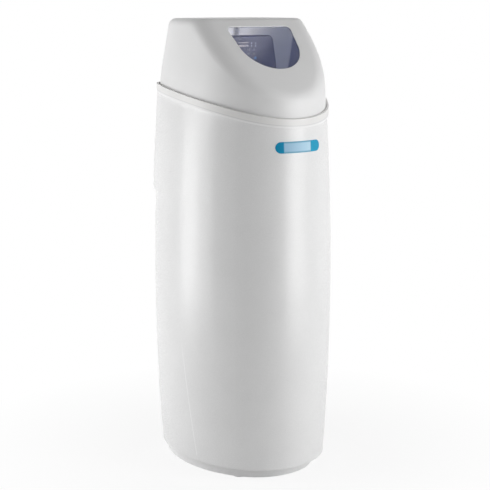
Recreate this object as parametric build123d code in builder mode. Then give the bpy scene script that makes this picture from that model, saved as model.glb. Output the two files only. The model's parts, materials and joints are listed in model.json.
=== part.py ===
from build123d import *
import math
import os

# Cabinet water softener: a barrel-shaped brine tank with a lift-off hood over a pressure vessel and its
# control valve. Millimetres. Z is up, the front faces -Y, and the origin is on the floor under the middle
# of the hood's lower edge.

# Overall sizes
total_height = 1130.0
pad_thickness = 2.5
pad_radius = 15.0
pad_places = ((-104, -112), (104, -112), (-128, 60), (128, 60), (-80, 170), (80, 170), (0, 0))
ledge_z = 32.0
tank_wall = 4.0
tank_floor_z = 6.5
socket_gap, socket_wall, socket_height = 0.3, 3.5, 14.0

# Outline of the hood's foot seen from above: four tangent arcs a side, from the front centre to the back
outline_front_y = -209.0
front_radius, front_angle = 163.0, 53.0
side_radius, side_angle = 302.0, 60.0
corner_radius, corner_angle = 74.0, 57.5

# Tank: how far its wall stands out from that outline
barrel_end_grow = 3.0
barrel_rise = 14.7
barrel_top_z = 905.0
barrel_stations = (ledge_z, 180.0, 330.0, 470.0, 610.0, 760.0, 860.0, 980.0)
plinth_inset = 17.0
plinth_shift = 12.0
rear_panel_depth = 12.0
rear_panel_low = 700.0
rear_panel_near_y, rear_panel_foot_y, rear_panel_back_y = 40.0, 196.0, 244.0
rear_panel_bend_y, rear_panel_bend_rise, rear_panel_rise = 226.0, 10.0, 34.0

# Seam between tank and hood: it falls towards the front, along an arc
seam_mid_z = 952.0
seam_tilt = 0.1675
seam_bow = 0.000373
collar_depth = 21.5
collar_seat = 17.0
collar_grow = 7.5
collar_low_z, collar_reach = 840.0, 160.0
shelf_width = 7.0
hood_gap = 2.4
skirt_depth = 14.0

# Hood
hood_wall = 3.0
hood_stations = (
    (870.0, 0.4), (915.0, 0.4), (960.0, -0.8), (1000.0, -5.0), (1045.0, -12.5), (total_height, -27.0)
)
slope_z_at_middle = 1148.7
slope_angle = 43.5
ridge_radius = 45.0
top_edge_radius = 20.0

# Window, measured on the slope from its lowest point
window_foot_y = -142.0
window_width = 186.0
window_height = 141.0
window_corner = 14.0
window_bowl_inset, window_bowl_rise, window_side_round = 9.0, 66.0, 40.0
window_edge_round = 2.0
lens_gap, lens_recess = 0.15, 1.6
lens_lip, lens_lip_thickness = 6.0, 2.0

# Front label
label_x, label_z = 2.5, 833.0
label_length = 129.0
label_height = 27.0
label_thickness = 0.8

# Pressure vessel
vessel_y = 62.0
vessel_radius = 128.0
vessel_base_z = 10.5
vessel_top_z = 903.0
vessel_wall = 3.5
vessel_bottom_z, vessel_shoulder_z, vessel_shoulder_rise = 85.0, 800.0, 76.0
neck_radius = 38.0
riser_radius, riser_wall = 13.5, 2.0
riser_low_z, riser_high_z = 40.0, 900.0
resin_top_z = 600.0
basket_low_z, basket_height, basket_radius = 24.0, 34.0, 30.0
basket_slots, basket_slot_width, basket_slot_height = 24, 2.0, 24.0
upper_basket_z, upper_basket_radius, upper_basket_slots = 868.0, 27.0, 20
boot_radius, boot_height, boot_round = vessel_radius + 3.2, 92.0, 2.0

# Control valve: the piston lies along Y
piston_z = 985.0
valve_front_y = 34.0
valve_back_y = 128.0
bore_radius = 24.0
piston_radius = 17.0
port_x = 40.0
port_z = 945.0
port_end_y = 137.0
valve_collar_low, valve_collar_high = 880.0, 915.0
collar_ribs, collar_rib_radius, collar_rib_height = 12, 4.0, 30.0
trunk_height = 40.0
saddle_low_z, saddle_height = 930.0, 55.0
saddle_y, saddle_width, saddle_depth, saddle_corner = 88.0, 92.0, 64.0, 14.0
injector_seat_z, injector_radius, injector_throat = 1010.0, 6.0, 1.0
running_gap = 0.05
barrel_flange_radius, flange_depth, ear_radius = 36.0, 8.0, 8.0
neck_collar_radius, trunk_radius, port_radius, port_bore = 50.0, 27.0, 18.0, 12.0
port_bore_depth = 60.0
bore_floor = 6.0
boss_top_z, boss_radius = 1035.0, 13.0
injector_place = (20.0, 66.0)
drain_place = (-2.0, 106.0)
drain_radius, drain_collar_radius = 6.5, 9.0
drain_collar_y, drain_end_y = 119.0, 146.0
drain_bore = 4.0
refill_x, refill_y = 70.0, 78.0
refill_boss_x, refill_boss_radius, refill_radius = 60.0, 11.0, 8.0
refill_low_z, refill_height, refill_socket = 968.0, 26.0, 10.0
cap_plate_radius, cap_plate_depth, cap_plug_depth = 35.0, 6.0, 12.0
hub_radius = 12.0
seal_rows, seal_pitch, seal_first_y = 4, 18.0, 116.0
seal_windows, seal_window_place, seal_window_length, seal_window_width = 8, 21.0, 9.0, 7.0
groove_radius = 13.0

# Gears
gear_module = 1.0
main_teeth = 66
idler_pinion_teeth = 12
idler_wheel_teeth = 36
motor_teeth = 12
idler_direction = 120.0
motor_direction = 165.0
gear_backlash = 0.14
wheel_back_y, wheel_width = 15.0, 4.0
pinion_back_y, pinion_width = 24.0, 9.0
idler_pin_radius = 3.0
motor_shaft_radius = 1.5
motor_shaft_end_y = 40.0
motor_face_y = 26.0
motor_radius, motor_depth, motor_shoulder = 14.0, 36.0, 10.0
piston_rod_radius = 6.0
web_outer, web_inner, web_depth = 28.0, 15.0, 3.0
spokes, spoke_width = 6, 3.0
motor_lug_reach, motor_lug_radius, motor_lug_depth = 15.0, 5.0, 2.5
screw_radius, screw_head_radius, screw_head_height = 2.0, 4.0, 2.4
screw_slot_width, screw_slot_length, screw_slot_depth = 1.2, 5.0, 1.0
screw_bite = 6.0

# Valve cover and keypad
cover_front_y = -14.0
cover_back_y = 31.0
cover_low_z = 944.0
cover_high_z = 1088.0
cover_low_half = 86.0
cover_high_half = 62.0
cover_wall = 3.0
cover_high_corner, cover_low_corner, cover_edge_round = 16.0, 8.0, 5.0
cover_post_radius, bracket_post_radius = 4.0, 4.5
standoff_radius, peg_radius = 3.0, 1.5
face_x, face_z, face_radius = -4.0, 1020.0, 60.0
face_y = -15.2
screen_x, screen_z = -27.0, 1066.0
screen_width, screen_height = 30.0, 14.0
key_columns = (-13.0, 4.0)
key_rows = (1053.5, 1043.5)
key_size = (8.0, 5.0)
round_key = (8.0, 1033.0)
round_key_radius = 3.6
key_front_y = -16.4
key_gap, key_lip, key_round, key_stem_radius = 0.35, 1.2, 0.6, 1.2
light_radius = 1.5
board_front_y, board_thickness = 1.0, 1.6
board_x, board_z = -4.0, 1042.0
board_width, board_height = 78.0, 64.0
cover_inside_y = cover_front_y + cover_wall
screen_front_y = cover_inside_y + 0.4
key_cap_y, key_stem_y = cover_inside_y + 0.1, cover_inside_y + 1.3
stem_end_y = 0.0
bracket_front_y = 7.4
bracket_back_y = 10.4
inlet_place = (62.0, 10.0)
inlet_bore = 2.8
inlet_width, inlet_depth = 12.6, 11.6
inlet_low_z, inlet_height, inlet_bore_depth = 941.0, 18.0, 10.0
inlet_lip_width, inlet_lip_depth, inlet_lip_height = 16.0, 14.0, 2.0
light_places = ((-3.0, 1062.5), (-3.0, 1069.5), (9.0, 1062.5), (9.0, 1069.5))

# Bypass behind the valve
bypass_y = 172.0
bypass_end_y = 236.0
tube_radius = 15.0
plug_radius, plug_low_z, plug_height = 12.0, 932.3, 42.0
bypass_boss_radius, bypass_boss_low_z = 18.0, 926.0
cross_bore, cross_radius = 8.0, 12.0
lever_low_z, lever_hub_radius, lever_hub_height = 968.4, 15.0, 6.0
lever_length, lever_width, lever_height = 44.0, 12.0, 13.0
union_radius, union_length, union_lap = 24.0, 18.5, 10.0
adapter_radius, adapter_length, adapter_lap = 20.0, 16.0, 10.0
spigot_length = 22.0
water_bore = 9.5
spigot_radius = 13.22
spigot_end_y = 268.0
notch_low_z, notch_high_z = 912.0, 1010.0
notch_half, notch_corner = 72.0, 18.0
notch_near_y = 180.0
hood_notch_high_z = 982.0
hood_notch_half = 66.0

# Brine well and its float
well_x, well_y = 70.0, -104.0
well_radius = 38.0
well_wall = 2.0
well_top_z = 880.0
well_slot_heights = (24.0, 52.0, 80.0, 108.0)
well_slots, well_slot_width, well_slot_height = 12, 3.0, 18.0
brine_tube_radius = 4.8
brine_entry_z = 858.0
pickup_low_z, pickup_radius, pickup_bore = 46.0, 5.0, 3.2
air_check_radius = 15.0
float_valve_z, float_valve_height, float_valve_radius = 838.0, 34.0, 13.0
float_middle_z, float_height = 322.0, 46.0
rod_offset, rod_radius = 9.0, 2.0

overflow_x, overflow_z = -88.0, 800.0
overflow_inner_y, overflow_outer_y = 214.0, 238.0
overflow_stem_radius = 12.4
overflow_boss_radius = 24.0
overflow_drop = 42.0
overflow_collar_drop = 16.0
overflow_radius, overflow_collar_radius = 8.0, 9.8
overflow_spigot_y = overflow_outer_y + 14
overflow_arm_radius, overflow_arm_length, overflow_bore = 11.0, 24.0, 7.0
overflow_flange_radius, overflow_flange_depth = 19.0, 4.0
overflow_nut_radius, overflow_nut_depth = 20.0, 8.0


def sin_deg(angle):
    return math.sin(math.radians(angle))


def cos_deg(angle):
    return math.cos(math.radians(angle))


side_end = front_angle + side_angle
corner_end = side_end + corner_angle
back_angle = 180.0 - corner_end
half_reach = (
    front_radius * sin_deg(front_angle)
    + side_radius * (sin_deg(side_end) - sin_deg(front_angle))
    + corner_radius * (sin_deg(corner_end) - sin_deg(side_end))
)
back_radius = half_reach / sin_deg(back_angle)

vessel_axis = Axis((0, vessel_y, 0), (0, 0, 1))
vessel_plane = Plane.XZ.offset(-vessel_y)
piston_axis = Axis((0, 0, piston_z), (0, 1, 0))
well_axis = Axis((well_x, well_y, 0), (0, 0, 1))
well_plane = Plane(origin=(well_x, well_y, 0), x_dir=(1, 0, 0), z_dir=(0, -1, 0))


def plan(grow=0.0, shift=0.0):
    """The outline seen from above, let out by grow all round and moved back by shift."""
    with BuildSketch() as outline:
        with BuildLine() as half:
            front = JernArc((0, outline_front_y - grow + shift), (1, 0), front_radius + grow, front_angle)
            side = JernArc(front @ 1, front % 1, side_radius + grow, side_angle)
            corner = JernArc(side @ 1, side % 1, corner_radius + grow, corner_angle)
            JernArc(corner @ 1, corner % 1, back_radius + grow, back_angle)
            mirror(half.line, about=Plane.YZ)
        make_face()
    return outline.sketch


def barrel_grow(z):
    """How far the tank's wall stands out from the outline at height z."""
    rise = (z - ledge_z) / (barrel_top_z - ledge_z)
    return barrel_end_grow + 4 * barrel_rise * rise * (1 - rise)


def barrel(inset=0.0, shift=0.0, low=ledge_z):
    """Solid barrel of the tank, drawn in by inset."""
    with BuildPart() as block:
        for z in (low,) + barrel_stations[1:]:
            with BuildSketch(Plane.XY.offset(z)):
                add(plan(barrel_grow(z) - inset, shift))
        loft()
    return block.part


def seam_z(y):
    return seam_mid_z + seam_tilt * y - seam_bow * y * y


def below_seam(drop):
    """Everything below the seam line lowered by drop."""
    reach = 280.0
    with BuildPart() as block:
        with BuildSketch(Plane.YZ):
            with BuildLine():
                line = ThreePointArc(
                    (-reach, seam_z(-reach) - drop), (0, seam_z(0) - drop), (reach, seam_z(reach) - drop)
                )
                Polyline(line @ 1, (reach, -10), (-reach, -10), line @ 0)
            make_face()
        extrude(amount=reach, both=True)
    return block.part


def rear_panel(inset=0.0):
    """The fuller back of the tank above rear_panel_low, with a rounded lower end."""
    low = rear_panel_low + inset
    with BuildPart() as block:
        add(barrel(inset, rear_panel_depth))
        with BuildSketch(Plane.YZ):
            with BuildLine():
                foot = Line((rear_panel_near_y, low), (rear_panel_foot_y, low))
                bend = ThreePointArc(
                    foot @ 1,
                    (rear_panel_bend_y, low + rear_panel_bend_rise),
                    (rear_panel_back_y, low + rear_panel_rise),
                )
                Polyline(bend @ 1, (rear_panel_back_y, 1000), (rear_panel_near_y, 1000), foot @ 0)
            make_face()
        extrude(amount=300, both=True, mode=Mode.INTERSECT)
    return block.part


def rear_notch(half_width, low, high, near_y):
    """Cutter for the pipes' way out through the back, with rounded lower corners."""
    with BuildPart() as block:
        with BuildSketch(Plane.XZ.offset(-near_y)) as profile:
            with Locations((0, (low + high) / 2)):
                Rectangle(2 * half_width, high - low)
            fillet(profile.vertices().group_by(Axis.Z)[0], notch_corner)
        extrude(amount=-80)
    return block.part


def slope_z(y, inset):
    """Height of the hood's front slope, drawn in by inset."""
    return slope_z_at_middle + y * math.tan(math.radians(slope_angle)) - inset / cos_deg(slope_angle)


def slope_face(block):
    """The flat outer face of the hood's slope."""
    return block.faces().filter_by(GeomType.PLANE).filter_by(
        lambda face: 0.5 < face.normal_at().Z < 0.9
    )[0]


def hood_block(inset=0.0):
    """Solid hood: tapered outline, flat sloping front with a soft ridge, rounded top."""
    with BuildPart() as block:
        for z, grow in hood_stations[:-1]:
            with BuildSketch(Plane.XY.offset(z)):
                add(plan(grow - inset))
        top_z, top_grow = hood_stations[-1]
        with BuildSketch(Plane.XY.offset(top_z - inset)):
            add(plan(top_grow - 0.84 * inset))
        loft()
        with BuildSketch(Plane.YZ):
            with BuildLine():
                Polyline(
                    (-300, slope_z(-300, inset)),
                    (100, slope_z(100, inset)),
                    (100, 1300),
                    (-300, 1300),
                    close=True,
                )
            make_face()
        extrude(amount=300, both=True, mode=Mode.SUBTRACT)
        top = block.faces().sort_by(Axis.Z)[-1]
        slope = slope_face(block)
        fillet([edge for edge in slope.edges() if edge not in top.edges()], ridge_radius - inset)
        fillet(block.faces().sort_by(Axis.Z)[-1].edges(), top_edge_radius - inset)
    return block.part


def window_outline():
    """Outline of the window: round below, widening upwards to a straight top edge."""
    half = window_width / 2
    with BuildSketch() as outline:
        with BuildLine():
            bowl = ThreePointArc(
                (-half + window_bowl_inset, window_bowl_rise),
                (0, 0),
                (half - window_bowl_inset, window_bowl_rise),
            )
            Polyline(bowl @ 1, (half, window_height), (-half, window_height), bowl @ 0)
        make_face()
        fillet(outline.vertices().group_by(Axis.Y)[-1], window_corner)
        fillet(outline.vertices().group_by(Axis.Y)[0], window_side_round)
    return outline.sketch


# The slope's own plane, with its origin at the window's lowest point and Y running up the slope
slope_plane = Plane(
    origin=(0, window_foot_y, slope_z(window_foot_y, 0)),
    x_dir=(1, 0, 0),
    z_dir=(0, -sin_deg(slope_angle), cos_deg(slope_angle)),
)


def gear_outline(teeth, phase, bore):
    """Involute spur gear with a tooth centred on the phase direction, round a bore."""
    pitch = gear_module * teeth / 2
    base = pitch * cos_deg(20)
    tip = pitch + 0.75 * gear_module
    root = pitch - gear_module

    def involute(radius):
        pressure = math.acos(min(1.0, base / radius))
        return math.tan(pressure) - pressure

    def half_width(radius):
        """Half of the tooth's angle at this radius, in degrees."""
        at_pitch = math.pi / (2 * teeth) - gear_backlash / (2 * pitch)
        return math.degrees(at_pitch + involute(pitch) - involute(radius))

    def at(radius, angle):
        return (radius * cos_deg(angle), radius * sin_deg(angle))

    foot = max(root, base)
    middle = (foot + tip) / 2
    step = 360 / teeth
    with BuildSketch() as outline:
        with BuildLine():
            for tooth in range(teeth):
                centre = phase + tooth * step
                start = centre - half_width(foot)
                end = centre + half_width(foot)
                if foot > root:
                    Line(at(root, start), at(foot, start))
                    Line(at(foot, end), at(root, end))
                ThreePointArc(
                    at(foot, start),
                    at(middle, centre - half_width(middle)),
                    at(tip, centre - half_width(tip)),
                )
                Line(at(tip, centre - half_width(tip)), at(tip, centre + half_width(tip)))
                ThreePointArc(
                    at(tip, centre + half_width(tip)), at(middle, centre + half_width(middle)), at(foot, end)
                )
                Line(at(root, end), at(root, start + step))
        make_face()
        Circle(bore, mode=Mode.SUBTRACT)
    return outline.sketch


def front_plane(x, y, z):
    """Plane facing the front, through a point, with X to the right and Z up."""
    return Plane(origin=(x, y, z), x_dir=(1, 0, 0), z_dir=(0, -1, 0))


os.makedirs("parts", exist_ok=True)


def write(builder, name):
    builder.part.label = name
    export_step(builder.part, f"parts/{name}.step")


# Tank

with BuildPart() as cabinet_body:
    add(barrel())
    add(rear_panel())
    with BuildSketch(Plane.XY.offset(pad_thickness)):
        add(plan(-plinth_inset, plinth_shift))
    extrude(amount=ledge_z - pad_thickness + 1)
    add(barrel(tank_wall, low=ledge_z + tank_wall), mode=Mode.SUBTRACT)
    add(rear_panel(tank_wall), mode=Mode.SUBTRACT)
    with BuildSketch(Plane.XY.offset(tank_floor_z)):
        add(plan(-plinth_inset - tank_wall, plinth_shift))
    extrude(amount=ledge_z + tank_wall + 1 - tank_floor_z, mode=Mode.SUBTRACT)
    add(below_seam(collar_seat), mode=Mode.INTERSECT)
    # Socket ring on the floor round the vessel's boot
    with BuildSketch(Plane.XY.offset(tank_floor_z)):
        with Locations((0, vessel_y)):
            Circle(boot_radius + socket_gap + socket_wall)
            Circle(boot_radius + socket_gap, mode=Mode.SUBTRACT)
    extrude(amount=socket_height)
    # Flat boss for the overflow elbow
    with BuildSketch(Plane.XZ.offset(-overflow_inner_y)):
        with Locations((overflow_x, overflow_z)):
            Circle(overflow_boss_radius)
    extrude(amount=overflow_inner_y - overflow_outer_y)
    with BuildSketch(Plane.XZ.offset(-overflow_inner_y + 1)):
        with Locations((overflow_x, overflow_z)):
            Circle(overflow_stem_radius + 0.1)
    extrude(amount=overflow_inner_y - overflow_outer_y - 10, mode=Mode.SUBTRACT)
    add(rear_notch(notch_half, notch_low_z, notch_high_z, notch_near_y), mode=Mode.SUBTRACT)
write(cabinet_body, "cabinet_body")

with BuildPart() as foot_pads:
    with BuildSketch():
        with Locations(*pad_places):
            Circle(pad_radius)
    extrude(amount=pad_thickness)
write(foot_pads, "foot_pads")

with BuildPart() as rim_collar:
    with BuildSketch(Plane.XY.offset(collar_low_z)):
        add(plan(collar_grow))
        add(plan(-shelf_width), mode=Mode.SUBTRACT)
    extrude(amount=collar_reach)
    add(below_seam(0), mode=Mode.INTERSECT)
    add(below_seam(collar_depth), mode=Mode.SUBTRACT)
    # The lip round the outside laps over the tank's wall, and the inner shelf carries the hood
    with BuildPart(mode=Mode.PRIVATE) as tank_top:
        add(barrel(-0.3))
        add(rear_panel(-0.3))
        add(below_seam(collar_seat), mode=Mode.INTERSECT)
    add(tank_top.part, mode=Mode.SUBTRACT)
    with BuildPart(mode=Mode.PRIVATE) as above_shelf:
        with BuildSketch(Plane.XY.offset(collar_low_z)):
            add(plan(hood_gap))
        extrude(amount=collar_reach)
        add(below_seam(skirt_depth), mode=Mode.SUBTRACT)
    add(above_shelf.part, mode=Mode.SUBTRACT)
    add(rear_notch(notch_half, notch_low_z, notch_high_z, notch_near_y), mode=Mode.SUBTRACT)
write(rim_collar, "rim_collar")

with BuildPart() as front_label:
    add(barrel(-label_thickness))
    add(barrel(), mode=Mode.SUBTRACT)
    with BuildSketch(Plane.XZ.offset(150)):
        with Locations((label_x, label_z)):
            SlotOverall(label_length, label_height)
    extrude(amount=100, mode=Mode.INTERSECT)
write(front_label, "front_label")

# Hood and window

with BuildPart() as hood:
    add(hood_block())
    add(hood_block(hood_wall), mode=Mode.SUBTRACT)
    add(below_seam(skirt_depth), mode=Mode.SUBTRACT)
    with BuildSketch(slope_plane):
        add(window_outline())
    extrude(amount=20, both=True, mode=Mode.SUBTRACT)
    fillet(slope_face(hood).inner_wires()[0].edges(), window_edge_round)
    add(rear_notch(hood_notch_half, 900, hood_notch_high_z, 150), mode=Mode.SUBTRACT)
write(hood, "hood")

with BuildPart() as window_lens:
    with BuildSketch(slope_plane.offset(-hood_wall)) as lens_plug:
        add(window_outline())
        offset(amount=-lens_gap)
    extrude(amount=hood_wall - lens_recess)
    with BuildSketch(slope_plane.offset(-hood_wall)) as lens_flange:
        add(window_outline())
        offset(amount=lens_lip)
    extrude(amount=-lens_lip_thickness)
write(window_lens, "window_lens")


# Pressure vessel

def vessel_profile(inset):
    """Half section of the vessel: flattened domes on a straight wall, and a neck."""
    radius = vessel_radius - inset
    middle_z = (vessel_bottom_z + vessel_shoulder_z) / 2
    with BuildSketch() as profile:
        with Locations((0, vessel_bottom_z)):
            Ellipse(radius, vessel_bottom_z - vessel_base_z - inset)
        with Locations((0, vessel_shoulder_z)):
            Ellipse(radius, vessel_shoulder_rise - inset)
        with Locations((0, middle_z)):
            Rectangle(2 * radius, vessel_shoulder_z - vessel_bottom_z)
        with Locations((0, (vessel_shoulder_z + vessel_top_z) / 2)):
            Rectangle(2 * (neck_radius - 2 * inset), vessel_top_z - vessel_shoulder_z)
        # Half of it, for the revolve
        with Locations((-vessel_radius, middle_z)):
            Rectangle(2 * vessel_radius, 2 * vessel_top_z, mode=Mode.SUBTRACT)
    return profile.sketch


def vessel_solid(inset):
    with BuildPart() as solid:
        with BuildSketch(vessel_plane):
            add(vessel_profile(inset))
        revolve(axis=vessel_axis)
    return solid.part


with BuildPart() as pressure_vessel:
    add(vessel_solid(0))
    add(vessel_solid(vessel_wall), mode=Mode.SUBTRACT)
write(pressure_vessel, "pressure_vessel")

with BuildPart() as vessel_boot:
    with BuildSketch(Plane.XY.offset(tank_floor_z)):
        with Locations((0, vessel_y)):
            Circle(boot_radius)
    extrude(amount=boot_height)
    fillet(vessel_boot.edges().sort_by(Axis.Z)[-1], boot_round)
    add(vessel_solid(0), mode=Mode.SUBTRACT)
write(vessel_boot, "vessel_boot")

with BuildPart() as riser_tube:
    with BuildSketch(Plane.XY.offset(riser_low_z)):
        with Locations((0, vessel_y)):
            Circle(riser_radius)
            Circle(riser_radius - riser_wall, mode=Mode.SUBTRACT)
    extrude(amount=riser_high_z - riser_low_z)
write(riser_tube, "riser_tube")

with BuildPart() as lower_basket:
    with BuildSketch(Plane.XY.offset(basket_low_z)):
        with Locations((0, vessel_y)):
            Circle(basket_radius)
    extrude(amount=basket_height)
    with BuildSketch(Plane.XY.offset(riser_low_z)):
        with Locations((0, vessel_y)):
            Circle(riser_radius)
    extrude(amount=basket_height, mode=Mode.SUBTRACT)
    # Strainer slots round the side
    with BuildSketch(Plane.XY.offset(basket_low_z + 4)):
        with Locations((0, vessel_y)):
            with PolarLocations(basket_radius - 4, basket_slots):
                Rectangle(14, basket_slot_width)
    extrude(amount=basket_slot_height, mode=Mode.SUBTRACT)
write(lower_basket, "lower_basket")

with BuildPart() as upper_basket:
    with BuildSketch(Plane.XY.offset(upper_basket_z)):
        with Locations((0, vessel_y)):
            Circle(upper_basket_radius)
            Circle(riser_radius, mode=Mode.SUBTRACT)
    extrude(amount=vessel_top_z - upper_basket_z)
    with BuildSketch(Plane.XY.offset(upper_basket_z + 4)):
        with Locations((0, vessel_y)):
            with PolarLocations(upper_basket_radius - 3, upper_basket_slots):
                Rectangle(12, basket_slot_width)
    extrude(amount=20, mode=Mode.SUBTRACT)
write(upper_basket, "upper_basket")

with BuildPart() as resin_bed:
    add(vessel_solid(vessel_wall))
    with BuildSketch(Plane.XY.offset(resin_top_z)):
        Rectangle(400, 600)
    extrude(amount=400, mode=Mode.SUBTRACT)
    with BuildSketch(Plane.XY):
        with Locations((0, vessel_y)):
            Circle(riser_radius)
    extrude(amount=resin_top_z + 1, mode=Mode.SUBTRACT)
    with BuildSketch(Plane.XY.offset(basket_low_z)):
        with Locations((0, vessel_y)):
            Circle(basket_radius)
    extrude(amount=basket_height, mode=Mode.SUBTRACT)
write(resin_bed, "resin_bed")

# Control valve

post_places = ((-46.0, 968.0), (46.0, 968.0), (44.0, 1021.0))

with BuildPart() as valve_body:
    # Screw collar over the vessel's neck
    with BuildSketch(Plane.XY.offset(valve_collar_low)):
        with Locations((0, vessel_y)):
            Circle(neck_collar_radius)
    extrude(amount=valve_collar_high - valve_collar_low)
    with BuildSketch(Plane.XY.offset(valve_collar_low)):
        with Locations((0, vessel_y)):
            with PolarLocations(neck_collar_radius + 1, collar_ribs):
                Circle(collar_rib_radius)
    extrude(amount=collar_rib_height)
    # Trunk, saddle and piston barrel
    with BuildSketch(Plane.XY.offset(valve_collar_high)):
        with Locations((0, vessel_y)):
            Circle(trunk_radius)
    extrude(amount=trunk_height)
    with BuildSketch(Plane.XY.offset(saddle_low_z)):
        with Locations((0, saddle_y)):
            RectangleRounded(saddle_width, saddle_depth, saddle_corner)
    extrude(amount=saddle_height)
    with BuildSketch(front_plane(0, valve_back_y, piston_z)):
        Circle(barrel_flange_radius)
    extrude(amount=valve_back_y - valve_front_y)
    # Front flange with three ears for the drive bracket
    with BuildSketch(front_plane(0, valve_front_y + flange_depth, 0)):
        with BuildLine():
            for place in post_places:
                CenterArc(place, ear_radius, 0, 360)
            CenterArc((0, piston_z), barrel_flange_radius, 0, 360)
        make_hull()
    extrude(amount=flange_depth)
    # Inlet and outlet ports
    with BuildSketch(front_plane(0, port_end_y, port_z)):
        with Locations((-port_x, 0), (port_x, 0)):
            Circle(port_radius)
    extrude(amount=port_end_y - valve_front_y - 12)
    # Bosses for injector, drain and refill
    with BuildSketch(Plane.XY.offset(piston_z)):
        with Locations(injector_place, drain_place):
            Circle(boss_radius)
    extrude(amount=boss_top_z - piston_z)
    with BuildSketch(Plane.YZ):
        with Locations((refill_y, piston_z)):
            Circle(refill_boss_radius)
    extrude(amount=refill_boss_x)
    with BuildSketch(Plane.XY.offset(injector_seat_z)):
        with Locations(injector_place):
            Circle(injector_radius)
    extrude(amount=boss_top_z - injector_seat_z, mode=Mode.SUBTRACT)
    # Piston bore, neck socket, riser passage, port bores and the screws' holes in the ears
    with BuildSketch(front_plane(0, valve_back_y - bore_floor, piston_z)):
        Circle(bore_radius)
    extrude(amount=valve_back_y, mode=Mode.SUBTRACT)
    with BuildSketch(Plane.XY.offset(valve_collar_low)):
        with Locations((0, vessel_y)):
            Circle(neck_radius)
    extrude(amount=vessel_top_z - valve_collar_low, mode=Mode.SUBTRACT)
    with BuildSketch(Plane.XY.offset(vessel_top_z)):
        with Locations((0, vessel_y)):
            Circle(riser_radius - riser_wall)
    extrude(amount=trunk_height - 4, mode=Mode.SUBTRACT)
    with BuildSketch(front_plane(0, port_end_y, port_z)):
        with Locations((-port_x, 0), (port_x, 0)):
            Circle(port_bore)
    extrude(amount=port_bore_depth, mode=Mode.SUBTRACT)
    with BuildSketch(front_plane(0, valve_front_y + screw_bite, 0)):
        with Locations(*post_places):
            Circle(screw_radius)
    extrude(amount=screw_bite, mode=Mode.SUBTRACT)
write(valve_body, "valve_body")

with BuildPart() as drive_cap:
    with BuildSketch(front_plane(0, valve_front_y, piston_z)):
        Circle(cap_plate_radius)
    extrude(amount=cap_plate_depth)
    with BuildSketch(front_plane(0, valve_front_y + cap_plug_depth, piston_z)):
        Circle(bore_radius)
    extrude(amount=cap_plug_depth)
    with BuildSketch(front_plane(0, valve_front_y + cap_plug_depth, piston_z)):
        Circle(hub_radius + running_gap)
    extrude(amount=cap_plug_depth + cap_plate_depth, mode=Mode.SUBTRACT)
write(drive_cap, "drive_cap")

with BuildPart() as seal_stack:
    with BuildSketch(front_plane(0, valve_back_y - bore_floor, piston_z)):
        Circle(bore_radius)
        Circle(piston_radius + running_gap, mode=Mode.SUBTRACT)
    extrude(amount=valve_back_y - bore_floor - valve_front_y - cap_plug_depth)
    # Flow windows in rows
    for row in range(seal_rows):
        with BuildSketch(front_plane(0, seal_first_y - seal_pitch * row, piston_z)):
            with PolarLocations(seal_window_place, seal_windows):
                Rectangle(10, seal_window_length)
        extrude(amount=seal_window_width, mode=Mode.SUBTRACT)
write(seal_stack, "seal_stack")

# Rod, then three full lands with two grooves between them
rod_z, full_z, groove_z = piston_z + piston_rod_radius, piston_z + piston_radius, piston_z + groove_radius
with BuildPart() as piston:
    with BuildSketch(Plane.YZ):
        with BuildLine():
            Polyline(
                (20, piston_z), (20, rod_z), (50, rod_z), (50, full_z),
                (58, full_z), (60, groove_z), (66, groove_z), (68, full_z),
                (76, full_z), (78, groove_z), (82, groove_z), (84, full_z),
                (92, full_z), (92, piston_z), close=True,
            )
        make_face()
    revolve(axis=piston_axis)
write(piston, "piston")

hub_end_y = valve_front_y + cap_plug_depth - 1
idler_distance = gear_module * (main_teeth + idler_pinion_teeth) / 2
idler_x = idler_distance * cos_deg(idler_direction)
idler_z = piston_z + idler_distance * sin_deg(idler_direction)
motor_distance = gear_module * (idler_wheel_teeth + motor_teeth) / 2
motor_x = idler_x + motor_distance * cos_deg(motor_direction)
motor_z = idler_z + motor_distance * sin_deg(motor_direction)

with BuildPart() as main_gear:
    with BuildSketch(front_plane(0, pinion_back_y, piston_z)):
        add(gear_outline(main_teeth, idler_direction, piston_rod_radius + running_gap))
    extrude(amount=pinion_width - 1)
    with BuildSketch(front_plane(0, hub_end_y, piston_z)):
        Circle(hub_radius)
        Circle(piston_rod_radius + running_gap, mode=Mode.SUBTRACT)
    extrude(amount=hub_end_y - pinion_back_y + pinion_width - 1)
    # Web pockets between rim and hub
    with BuildSketch(front_plane(0, pinion_back_y - pinion_width + 1 + web_depth, piston_z)):
        Circle(web_outer)
        Circle(web_inner, mode=Mode.SUBTRACT)
        with PolarLocations((web_outer + web_inner) / 2, spokes):
            Rectangle(16, spoke_width, mode=Mode.SUBTRACT)
    extrude(amount=web_depth, mode=Mode.SUBTRACT)
write(main_gear, "main_gear")

with BuildPart() as idler_gear:
    with BuildSketch(front_plane(idler_x, wheel_back_y, idler_z)):
        add(gear_outline(idler_wheel_teeth, motor_direction, idler_pin_radius + running_gap))
    extrude(amount=wheel_width)
    pinion_phase = idler_direction + 180 + 180 / idler_pinion_teeth
    with BuildSketch(front_plane(idler_x, pinion_back_y, idler_z)):
        add(gear_outline(idler_pinion_teeth, pinion_phase, idler_pin_radius + running_gap))
    extrude(amount=pinion_width)
write(idler_gear, "idler_gear")

with BuildPart() as motor_pinion:
    motor_phase = motor_direction + 180 + 180 / motor_teeth
    with BuildSketch(front_plane(motor_x, wheel_back_y, motor_z)):
        add(gear_outline(motor_teeth, motor_phase, motor_shaft_radius))
    extrude(amount=wheel_width)
    with BuildSketch(front_plane(motor_x, motor_shaft_end_y, motor_z)):
        Circle(motor_shaft_radius)
    extrude(amount=motor_shaft_end_y - wheel_back_y + wheel_width)
write(motor_pinion, "motor_pinion")

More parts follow.
